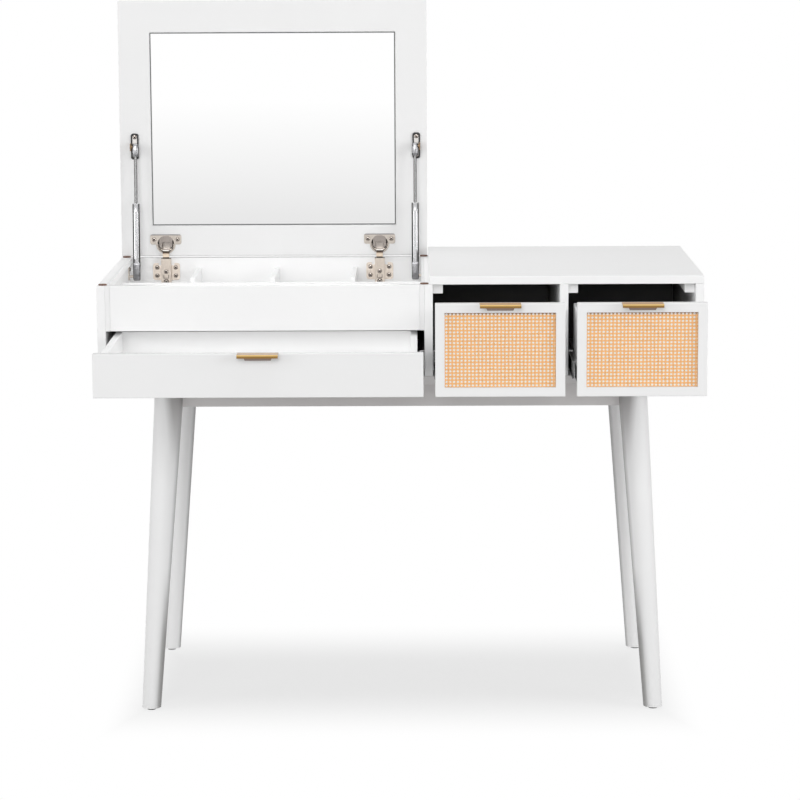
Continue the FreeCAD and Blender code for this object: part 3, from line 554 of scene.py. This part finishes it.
def pull_finish(node, glancing):
    """Brass for one pull, from its own box, with a glancing tint for its top that stands in for what the
    pull mirrors: painted reflection.
    """
    low, high = (Vector(corner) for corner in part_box(node))
    material, tree, shader, lines = brushed(node + "_brass", grey(0.80), grey(1.0), (60.0, 1500.0, 1500.0),
                                            smooth=0.26, dull=0.42, Specular_Tint=glancing)
    axes = axes_of(tree, "Object")
    lit = ramp(tree, axes["Z"], high.z - lip_dark, high.z - lip_lit)
    # Painted highlight along the fold's upper edge, painted shade below it.
    lip = mix_colour(tree, lit, lip_shade, lip_light)
    # The flat part against the drawer is painted dark as shadow.
    zone = mix_colour(tree, maths(tree, "LESS_THAN", axes["Y"], low.y + fold_depth), web_shadow_brass, lip)
    zone = mix_colour(tree, maths(tree, "GREATER_THAN", axes["Z"], high.z - top_skin), zone, top_brass)
    colour = mix_colour(tree, 1.0, zone, lines["Color"], "MULTIPLY")
    dress(tree, shader, colour, lines["Roughness"], lines["Lines"])
    return material


# Each kind of pull gets its own glancing tint for what it mirrors: painted reflection.
cool_glance, warm_glance = (0.56, 0.60, 0.70, 1), (0.86, 0.69, 0.58, 1)
for node, glancing in (("wide_pull", cool_glance), ("cane_left_pull", warm_glance),
                       ("cane_right_pull", warm_glance)):
    paint(pull_finish(node, glancing), node)
print("brass on three pulls")

# %% [markdown]
# ## Hinges
# A cup hinge is pressed from nickelled sheet. Its cup is painted as a dark hole, with a painted shadow
# along the flange's top edge, its arm has painted highlights where it bends over the rim and at its tip,
# with painted shade between, and a thin painted dark line shows where the arm leaves the plate. Colour by
# place paints this light and shade onto the plain solids.


# %% Hinge finishes
def zoned_nickel(name, dark, bright, zones):
    """Nickel with other colours in given places. A zone is a list of (axis, from, to) and a colour."""
    material, tree, shader, lines = brushed(name, dark, bright, nickel_stretch)
    axes = axes_of(tree, "Object")
    colour = lines["Color"]
    for limits, shade in zones:
        inside = [between(tree, axes[axis], begin, stop) for axis, begin, stop in limits]
        colour = mix_colour(tree, join(tree, "MULTIPLY", *inside), colour, shade)
    dress(tree, shader, colour, lines["Roughness"], lines["Lines"])
    return material


half_flange, half_neck = 0.030, 0.0074
flange_skin, edge_band = 0.0022, 0.0020
cup_low, cup_high = (Vector(corner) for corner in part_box("hinge_cups"))
arm_low, arm_high = (Vector(corner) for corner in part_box("hinge_arms"))
rim_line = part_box("hinge_plates")[1][2]
hinge_middles = (cup_low.x + half_flange, cup_high.x - half_flange)
# Painted shade in the cup: its hollow near-black, lighter grey behind the arm's slot, and a painted shadow
# along the flange's top edge.
deep = ("Y", cup_low.y + flange_skin, cup_high.y + hair)
cup_shade_zones = [([deep], (0.03, 0.026, 0.023, 1)),
             ([("Z", cup_high.z - edge_band, cup_high.z + hair)], (0.26, 0.25, 0.25, 1))]
cup_shade_zones += [([deep, ("X", x - half_neck, x + half_neck)], (0.42, 0.38, 0.35, 1)) for x in hinge_middles]
# Painted light on the arm, from the rim up: a dark line where it leaves the plate, a highlight on the bend,
# a middle tone, shade inside the cup and a highlight at its tip.
arm_borders = [rim_line + rise for rise in (-0.0008, 0.0022, 0.0085, 0.0102)]
arm_borders += [arm_high.z - edge_band, arm_high.z + hair]
arm_highlights_and_shade = [(0.05, 0.045, 0.04, 1), (0.74, 0.62, 0.50, 1), (0.40, 0.31, 0.24, 1), (0.08, 0.06, 0.05, 1),
              (0.95, 0.93, 0.90, 1)]
arm_zones = [([("Z", begin, stop)], shade)
             for begin, stop, shade in zip(arm_borders, arm_borders[1:], arm_highlights_and_shade)]
paint(zoned_nickel("cup_nickel", (0.42, 0.375, 0.335, 1), (0.60, 0.545, 0.49, 1), cup_shade_zones), "hinge_cups")
paint(zoned_nickel("arm_nickel", (0.53, 0.46, 0.40, 1), (0.76, 0.68, 0.60, 1), arm_zones), "hinge_arms")
print("hinge cups and arms")

# %% [markdown]
# ## Gas struts
# A strut's tube and rod are bright drawn steel. Round bright metal in a white room shows dark lines along
# its flanks, where it mirrors the far sides of the room, so the steel is given a painted reflection: a
# darker tone where it faces sideways.

# %% Strut finish
flank_blend = 0.16
flank_askew = (0.02, 0.12)


def strut_finish(name, light, dark, flank):
    """Drawn steel, light along the front and back and darker along the flanks."""
    material, tree, shader, lines = brushed(name, grey(0.86), grey(1.0), (900.0, 900.0, 25.0),
                                            smooth=0.16, dull=0.28)
    sideways = maths(tree, "ABSOLUTE", axes_of(tree, "Normal")["X"])
    askew = add(tree, "ShaderNodeLayerWeight", Blend=0.5).outputs["Facing"]
    on_flank = ramp(tree, sideways, flank, flank + flank_blend)
    dim = maths(tree, "MULTIPLY", on_flank, ramp(tree, askew, *flank_askew))
    tone = mix_colour(tree, dim, light, dark)
    colour = mix_colour(tree, 1.0, tone, lines["Color"], "MULTIPLY")
    dress(tree, shader, colour, lines["Roughness"], lines["Lines"], strength=0.02, distance=0.0001)
    return material


tube_steel = strut_finish("strut_tube_steel", (0.52, 0.52, 0.53, 1), grey(0.08), flank=0.46)
rod_steel = strut_finish("strut_rod_steel", grey(0.30), grey(0.07), flank=0.30)
clip_steel = strut_finish("strut_clip_steel", (0.32, 0.32, 0.33, 1), grey(0.05), flank=0.5)
paint(tube_steel, "strut_cylinder_left", "strut_cylinder_right")
paint(rod_steel, "strut_rod_left", "strut_rod_right")
print("steel on two struts")


# %% Moulded pieces: lid bumpers and leg glides
def moulded(name, first, second):
    """Plain plastic between two tones. It also serves as painted shade in the hollows of metal."""
    material, tree, shader = finish(name)
    skin = use_group(tree, sprayed_skin, Fresh=first, Aged=second, Patch_Size=300.0, Smooth=0.5, Dull=0.7)
    dress(tree, shader, skin["Color"], skin["Roughness"], skin["Ripple"], strength=0.12, distance=0.0003)
    return material


paint(moulded("brown_bumper", (0.16, 0.07, 0.04, 1), (0.11, 0.05, 0.03, 1)), "lid_bumpers")
paint(moulded("dark_glide", grey(0.02), (0.035, 0.033, 0.03, 1)), "leg_glides")
# Painted shade for screw slots, the rings round screw heads and the marks on the hinge arms.
hollow_shade = moulded("hollow_shade", (0.045, 0.032, 0.026, 1), (0.07, 0.045, 0.035, 1))
print("bumpers and glides")

# %% [markdown]
# ## Woven cane
# Cane webbing is woven from thin flat strands: pairs that run up, pairs that run across, and single strands
# along both slants that cut the corners off every gap. The gaps come out nearly round, and the white board
# shows through them. A texture could fake it, but strands that really pass over and under each other catch
# the light along their edges and stay true close up, so each strand is a thin lens-shaped ribbon with a
# wave in it.

# %% Strand maker
gap_columns, gap_rows = 29.5, 21
strand_width, slant_width, strand_half_depth = 0.00100, 0.00070, 0.00022
strand_rise, pair_spread = 0.00018, 0.00122
strand_sway, sway_pace, sway_shift = 0.00032, 95, 1.9
across_lift, slant_lift, weave_depth = 0.0001, 0.00028, 0.00045
shortest_slant, row_offset = 0.001, 3
towards = Vector((0, -1, 0))


def add_strand(mesh, begin, finish_at, width, wave, phase, number):
    """A lens-shaped ribbon from one point to another that waves over and under and sways a little."""
    along = finish_at - begin
    length = along.length
    along.normalize()
    across = along.cross(towards).normalized()
    section = (across * (width / 2), towards * strand_half_depth,
               across * (-width / 2), towards * -strand_half_depth)
    steps = max(2, round(length / wave * 2))
    rings = []
    for step in range(steps + 1):
        share = step / steps
        lift = math.cos(math.pi * (share * length / wave * 2 + phase)) * strand_rise
        bend = math.sin(share * length * sway_pace + number * sway_shift)
        sway = bend * math.sin(math.pi * share) * strand_sway
        spot = begin + along * (length * share) + towards * lift + across * sway
        rings.append([mesh.verts.new(spot + offset) for offset in section])
    for first, second in zip(rings, rings[1:]):
        for i in range(4):
            mesh.faces.new((first[i], first[(i + 1) % 4], second[(i + 1) % 4], second[i]))
    mesh.faces.new(reversed(rings[0]))
    mesh.faces.new(rings[-1])


def clip_slant(total, width, height, rising):
    """Ends of a slanted line inside a window: across + up is total, or across - up where it rises."""
    low = max(0.0, total if rising else total - height)
    high = min(width, total + height if rising else total)
    if high - low < shortest_slant:
        return None
    return [(across, across - total if rising else total - across) for across in (low, high)]


print("strand maker ready")


# %% Piece maker
def new_piece(name, mesh, body, *finishes):
    """Turns a mesh under construction into a piece that rides on a body."""
    data = bpy.data.meshes.new(name)
    mesh.to_mesh(data)
    mesh.free()
    for material in finishes:
        data.materials.append(material)
    piece = bpy.data.objects.new(name, data)
    scene.collection.objects.link(piece)
    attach(piece, body)
    print(name, "has", len(data.polygons), "faces")
    return piece


print("piece maker ready")


# %% Weave one window
def weave(name, node, body, material):
    """The whole webbing of one drawer front, in place of its plain sheet."""
    low, high = (Vector(corner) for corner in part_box(node))
    width, height = high.x - low.x, high.z - low.z
    step_x, step_z = width / gap_columns, height / gap_rows
    columns = math.ceil(gap_columns)
    mesh = bmesh.new()

    def spot(across, up, lift=0.0):
        """A point of the window, just in front of the board behind it."""
        return Vector((low.x + across, high.y - weave_depth, low.z + up)) + towards * lift

    def pair(middle, reach):
        """Where the two strands of a pair run, kept inside the window."""
        for lean in (-1, 1):
            yield min(max(middle + lean * pair_spread / 2, strand_width / 2), reach - strand_width / 2)

    for column in range(columns + 1):
        for across in pair(column * step_x, width):
            add_strand(mesh, spot(across, 0), spot(across, height), strand_width, step_z,
                       column % 2, column)
    for row in range(gap_rows + 1):
        for up in pair(row * step_z, height):
            add_strand(mesh, spot(0, up, across_lift), spot(width, up, across_lift), strand_width, step_x,
                       (row + 1) % 2, row + row_offset)
    squash = step_z / step_x
    for rising in (False, True):
        for index in range(-columns - gap_rows, columns + gap_rows):
            ends = clip_slant((index + 0.5) * step_x, width, height * step_x / step_z, rising)
            if ends:
                begin, stop = (spot(across, up * squash, slant_lift) for across, up in ends)
                add_strand(mesh, begin, stop, slant_width, step_x, index % 2, index)
    piece = new_piece(name, mesh, body, material)
    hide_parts(node)


print("weave ready")

# %% Cane finish: honey strands with paler streaks, a few brown flecks and a painted shadow along the top row
shade_from, shade_full = 0.0042, 0.0026
cane, tree, shader = finish("natural_cane")
place = spots_of(tree)
streak = noise(tree, place, scale=260.0, Detail=3.0)
blotch = noise(tree, place, scale=45.0, Detail=2.0)
fleck = noise(tree, place, scale=520.0, Detail=1.0)
honey = mix_colour(tree, streak, (0.94, 0.45, 0.12, 1), (0.99, 0.62, 0.27, 1))
honey = mix_colour(tree, blotch, honey, (0.97, 0.56, 0.21, 1))
honey = mix_colour(tree, ramp(tree, fleck, 0.58, 0.76, to_high=0.5), honey, (0.36, 0.16, 0.06, 1))
window_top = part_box("cane_left_webbing")[1][2]
height = axes_of(tree, "Object")["Z"]
# Painted shadow along the top row, under the window's upper edge.
top_row = ramp(tree, height, window_top - shade_from, window_top - shade_full, to_high=0.85)
honey = mix_colour(tree, top_row, honey, (0.28, 0.12, 0.04, 1))
sheen = ramp(tree, streak, 0.0, 1.0, to_low=0.35, to_high=0.6)
dress(tree, shader, honey, sheen, streak, strength=0.15)
for side in ("left", "right"):
    weave("woven_cane_" + side, "cane_" + side + "_webbing", "cane_" + side + "_drawer", cane)

# %% [markdown]
# ## Small hardware
# Close up, hinges and struts are full of little things that plain solids leave out: domed screw heads with
# cross slots, the folded link inside each cup, the slot and cam for adjusting the arm, and the pressed
# sleeves on the struts. They are built here from rings and outlines, and each rides on the body that
# carries it.


# %% Solids from rings
def skin_rings(mesh, rings, index, smooth=True):
    """Closes a row of rings of points into one solid."""
    faces = [mesh.faces.new(rings[0]), mesh.faces.new(rings[-1])]
    for low, high in zip(rings, rings[1:]):
        for i in range(len(low)):
            j = (i + 1) % len(low)
            faces.append(mesh.faces.new((low[i], low[j], high[j], high[i])))
            faces[-1].smooth = smooth
    for face in faces:
        face.material_index = index


def add_sleeve(mesh, base, way, sections, index=0, square=1.0, points=28):
    """A solid along an axis, from sections of (distance along, half width) or with a half depth as well."""
    across = way.orthogonal().normalized() if abs(way.x) > 0.5 else Vector((1, 0, 0))
    deep = way.cross(across).normalized()
    rings = []
    for along, wide, *thick in sections:
        ring = []
        for i in range(points):
            c, s = math.cos(2 * math.pi * i / points), math.sin(2 * math.pi * i / points)
            c, s = math.copysign(abs(c) ** square, c), math.copysign(abs(s) ** square, s)
            aside = across * (c * wide) + deep * (s * (thick[0] if thick else wide))
            ring.append(mesh.verts.new(base + way * along + aside))
        rings.append(ring)
    skin_rings(mesh, rings, index)


def add_plate(mesh, outline, y_front, y_back, index=0):
    """A flat outline of (across, up) points pushed from one depth to another."""
    rings = [[mesh.verts.new((x, y, z)) for x, z in outline] for y in (y_front, y_back)]
    skin_rings(mesh, rings, index, smooth=False)


def place_piece(name, mesh, body, slot, *finishes):
    """A piece with all its faces turned outwards, on a body; its slot is not used."""
    bmesh.ops.recalc_face_normals(mesh, faces=mesh.faces)
    piece = new_piece(name, mesh, body, *finishes)
    return piece


print("ring and plate makers ready")

# %% Screw heads with cross slots
head_radius, head_rise, head_height = 0.0036, 0.0008, 0.0014
slot_half_length, slot_half_width, slot_rise = 0.0031, 0.0009, 1.08 * head_rise
slot_corners = ((1, 1), (-1, 1), (-1, -1), (1, -1))
dome_shape = ((0.45, 0.9), (0.8, 0.66), (1.0, 0.3), (1.02, 0.05))
dome_sections = [(-0.0006, head_radius), (0.0, head_radius)]
dome_sections += [(rise * head_rise, share * head_radius) for rise, share in dome_shape]
ring_sections = [(-0.0015, 1.2 * head_radius), (-0.0011, 1.16 * head_radius)]


def add_screw_head(mesh, top, way):
    """A low dome on a screw's head, with a ring and two crossed slots painted dark as shade. The way points
    outwards.
    """
    for index, sections in enumerate((dome_sections, ring_sections)):
        add_sleeve(mesh, top, way, sections, index, points=20)
    up = Vector((0, 0, 1))
    level = way.cross(up).normalized()
    for one, other in ((up + level, up - level), (up - level, up + level)):
        one, other = one.normalized() * slot_half_length, other.normalized() * slot_half_width
        rings = [[mesh.verts.new(spot + one * a + other * b) for a, b in slot_corners]
                 for spot in (top, top + way * slot_rise)]
        skin_rings(mesh, rings, 1)


print("a screw head has", len(dome_sections), "rings")

# %% Screws in their places
plate_low, plate_high = (Vector(corner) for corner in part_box("hinge_plates"))
bracket_low, bracket_high = (Vector(corner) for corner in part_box("strut_lid_brackets"))
foot_low, foot_high = (Vector(corner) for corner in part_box("strut_foot_brackets"))
foot_y = (foot_low.y + foot_high.y) / 2
flange_sheet, bracket_sheet, half_plate = 0.0012, 0.002, 0.0075
lid_face = cup_low.y + flange_sheet
wing_drop, wing_screw_x, wing_screw_z = 0.0265, 0.018, 0.008
arm_screw_drop, cam_drop = 0.026, 0.045
cup_screw_x, cup_screw_drop = 0.0225, 0.00975
bracket_screw_inset, foot_screw_inset = 0.007, 0.005
case_screws, lid_screws = bmesh.new(), bmesh.new()
for x in hinge_middles:
    for a in (-wing_screw_x, wing_screw_x):
        for b in (-wing_screw_z, wing_screw_z):
            spot = Vector((x + a, plate_low.y - head_height, plate_high.z - wing_drop + b))
            add_screw_head(case_screws, spot, towards)
    for drop in (arm_screw_drop, cam_drop):
        add_screw_head(case_screws, Vector((x, arm_low.y - head_height, plate_high.z - drop)), towards)
    for a in (-cup_screw_x, cup_screw_x):
        spot = Vector((x + a, cup_low.y - head_height, cup_high.z - cup_screw_drop))
        add_screw_head(lid_screws, spot, towards)
stand = bracket_sheet + head_height
for x in (bracket_low.x + half_plate, bracket_high.x - half_plate):
    for z in (bracket_low.z + bracket_screw_inset, bracket_high.z - bracket_screw_inset):
        add_screw_head(lid_screws, Vector((x, lid_face - stand, z)), towards)
for x, way in ((foot_low.x + stand, 1), (foot_high.x - stand, -1)):
    add_screw_head(case_screws, Vector((x, foot_y, foot_high.z - foot_screw_inset)), Vector((way, 0, 0)))
place_piece("screw_heads_case", case_screws, "carcass", "screw_steel", zinc, hollow_shade)
place_piece("screw_heads_lid", lid_screws, "lid", "screw_steel", zinc, hollow_shade)

# %% Strut plates on the lid: painted shade round the edge, a painted highlight in the middle, and a brown stud
bright_radius, dark_radius = 0.0036, 0.0048
stud_depth = 0.004
plate_steel, tree, shader, lines = brushed("lid_plate_steel", grey(0.8), grey(1.0), steel_stretch)
axes = axes_of(tree, "Object")
bracket_middle, bracket_half = (bracket_low + bracket_high) / 2, (bracket_high - bracket_low) / 2
from_middle = add(tree, "ShaderNodeCombineXYZ")
for axis, centre, half in (("X", bracket_middle.x, bracket_half.x),
                           ("Z", bracket_middle.z, bracket_half.z)):
    off = maths(tree, "ABSOLUTE", maths(tree, "SUBTRACT", axes[axis], centre))
    off = maths(tree, "SUBTRACT", off, half - half_plate)
    tree.links.new(off if axis == "X" else maths(tree, "MAXIMUM", off, 0.0), from_middle.inputs[axis])
reach = add(tree, "ShaderNodeVectorMath", operation="LENGTH")
tree.links.new(from_middle.outputs[0], reach.inputs[0])
# Painted shade round the plate's edge and a painted highlight in its middle.
edge_shade_share = ramp(tree, reach.outputs["Value"], bright_radius, dark_radius)
tone = mix_colour(tree, edge_shade_share, (0.62, 0.60, 0.58, 1), grey(0.05))
stud = maths(tree, "LESS_THAN", axes["Y"], lid_face - stud_depth)
tone = mix_colour(tree, stud, tone, (0.22, 0.15, 0.09, 1))
dress(tree, shader, mix_colour(tree, 1.0, tone, lines["Color"], "MULTIPLY"), lines["Roughness"])
paint(plate_steel, "strut_lid_brackets")
print("steel on the strut plates of the lid")

# %% Folded links in the cups
cup_rise, cup_skin, link_proud, eased_edge = 0.0187, 0.0014, 0.0006, 0.0006
cup_middle, cup_floor = cup_low.z + cup_rise, cup_high.y - cup_skin
link_half = ((0.0072, 0.0020), (0.0072, -0.0092), (0.0092, -0.0092), (0.0128, -0.0055), (0.0128, 0.0090),
             (0.0095, 0.0126), (0.0050, 0.0149))
cheek = ((0.0074, -0.0104), (0.0098, -0.0104), (0.0142, -0.0060), (0.0142, -0.0010), (0.0158, -0.0010),
         (0.0151, -0.0046), (0.0135, -0.0082), (0.0112, -0.0111), (0.0086, -0.0133), (0.0074, -0.0140))
link_outline = list(link_half) + [(-a, b) for a, b in reversed(link_half)]
link_nickel = metal("link_nickel", (0.235, 0.208, 0.19, 1), (0.34, 0.306, 0.284, 1), nickel_stretch,
                    smooth=0.3, dull=0.45)
for side, x in zip(("left", "right"), hinge_middles):
    link = bmesh.new()
    add_plate(link, [(x + a, cup_middle + b) for a, b in link_outline], cup_low.y - link_proud, cup_floor)
    for turn in (-1, 1):
        add_plate(link, [(x + turn * a, cup_middle + b) for a, b in cheek], cup_low.y, cup_floor, 1)
    piece = place_piece("cup_link_" + side, link, "lid", "nickel", link_nickel, nickel)
    edges = piece.modifiers.new("eased", "BEVEL")
    edges.width, edges.segments, edges.limit_method = eased_edge, 2, "ANGLE"

# %% Slots and cams on the hinge arms
mark_proud, mark_sunk, slot_drop = 0.00012, 0.0002, 0.0325
mark_front, mark_back = arm_low.y - mark_proud, arm_low.y + mark_sunk
slot_top, cam_z = plate_high.z - slot_drop, plate_high.z - cam_drop
slot_bars = ((-0.0052, -0.0042, 0, -0.0062), (0.0042, 0.0052, 0, -0.0062),
             (-0.0052, 0.0052, -0.0053, -0.0064))
cam_sections = ((-0.0002, 0.0050), (0.0003, 0.0050), (0.0004, 0.0046))
for side, x in zip(("left", "right"), hinge_middles):
    marks = bmesh.new()
    for left, right, high, low in slot_bars:
        corners = ((left, high), (right, high), (right, low), (left, low))
        add_plate(marks, [(x + a, slot_top + b) for a, b in corners], mark_front, mark_back)
    add_sleeve(marks, Vector((x, arm_low.y, cam_z)), towards, cam_sections)
    # The slot and cam take the painted shade for hollows.
    place_piece("arm_marks_" + side, marks, "carcass", "nickel", hollow_shade)

# %% [markdown]
# ## Sleeves on the struts
# Both ends of a strut sit in pressed sockets that snap over a ball. The lower one is as wide as the tube
# and round at its end, and the upper one is a short block on the rod. A crimped collar closes the tube
# where the rod comes out.

# %% Strut sleeves
foot_stud_rise, head_stud_depth, head_drop = 0.007, 0.007, 0.005
socket_sections = ((-0.0080, 0.0040, 0.0016), (-0.0076, 0.0058, 0.0036), (-0.0060, 0.0066, 0.0058),
                   (-0.0030, 0.0068, 0.0073), (0.0060, 0.0068, 0.0075), (0.0170, 0.0070, 0.0074),
                   (0.0230, 0.0073, 0.0073), (0.0262, 0.0073, 0.0073))
cap_sections = ((0.0064, 0.0022), (0.0060, 0.0046), (0.0040, 0.0060), (-0.0060, 0.0062), (-0.0130, 0.0062),
                (-0.0172, 0.0058), (-0.0182, 0.0044))
collar_sections = ((-0.0165, 0.00705), (-0.0162, 0.00735), (-0.0150, 0.00735), (-0.0145, 0.00712),
                   (-0.0015, 0.00712), (-0.0004, 0.0060))
for side in ("left", "right"):
    rod_low, rod_high = (Vector(corner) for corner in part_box("strut_rod_" + side))
    middle = (rod_low.x + rod_high.x) / 2
    foot = Vector((middle, foot_y, foot_low.z + foot_stud_rise))
    head = Vector((middle, bracket_low.y + head_stud_depth, rod_high.z - head_drop))
    way = (head - foot).normalized()
    mouth = (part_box("strut_cylinder_" + side)[1][2] - foot.z) / way.z
    socket, cap, collar = bmesh.new(), bmesh.new(), bmesh.new()
    add_sleeve(socket, foot, way, socket_sections, square=0.35)
    add_sleeve(cap, head, way, cap_sections, square=0.7)
    add_sleeve(collar, foot, way, [(mouth + along, radius) for along, radius in collar_sections])
    place_piece("strut_socket_" + side, socket, "strut_tube_" + side, "strut_steel", clip_steel)
    place_piece("strut_cap_" + side, cap, "strut_bar_" + side, "strut_steel", clip_steel)
    place_piece("strut_collar_" + side, collar, "strut_tube_" + side, "strut_steel", tube_steel)
    print("strut", side, "open length", round((head - foot).length, 4), "mouth at", round(mouth, 4))
